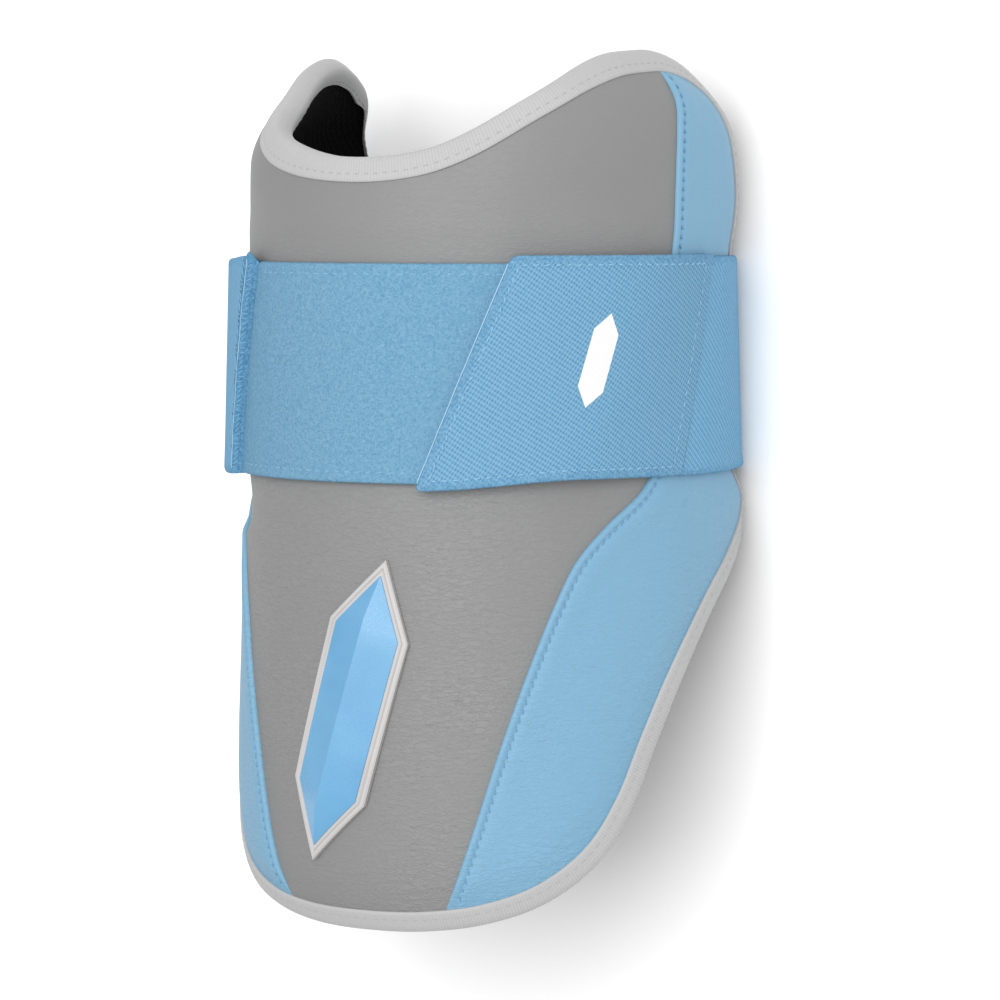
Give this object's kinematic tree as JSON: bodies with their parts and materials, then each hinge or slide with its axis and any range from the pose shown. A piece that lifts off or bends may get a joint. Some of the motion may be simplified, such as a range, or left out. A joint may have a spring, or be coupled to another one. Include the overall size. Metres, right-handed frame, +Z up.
{
  "type": "elbow guard",
  "caption": "Padded leather batting elbow guard that wraps the outside of the arm, with a bound edge, a wide elastic strap and a slanted hook tab closed on a loop panel.",
  "frame": {"origin": "middle of the guard's outline in plan, on the surface that it lies on", "axes": "+X to the right of the guard's front, +Y up the arm towards the two ears, +Z up, out of the front panel"},
  "size_m": [0.124, 0.2052, 0.097],
  "materials": {
    "grey_leather": "fine wrinkled grain, soft sheen",
    "blue_leather": "fine wrinkled grain, soft sheen",
    "black_mesh": "knitted spacer mesh",
    "grey_tape": "ribbed woven tape",
    "blue_loop": "brushed loop",
    "blue_weave": "woven webbing",
    "blue_elastic": "knitted elastic",
    "grey_rubber": "matt moulded rubber",
    "blue_gloss": "moulded, half gloss"
  },
  "bodies": {
    "root": {"middle_panel": "grey_leather", "side_panel_right": "blue_leather", "side_panel_left": "blue_leather", "padded_liner": "black_mesh", "edge_binding": "grey_tape", "loop_panel": "blue_loop", "hook_tab": "blue_weave", "elastic_strap": "blue_elastic", "strap_ridge": "blue_loop", "badge_plate": "grey_rubber", "badge_face": "blue_gloss"}
  },
  "joints": []
}
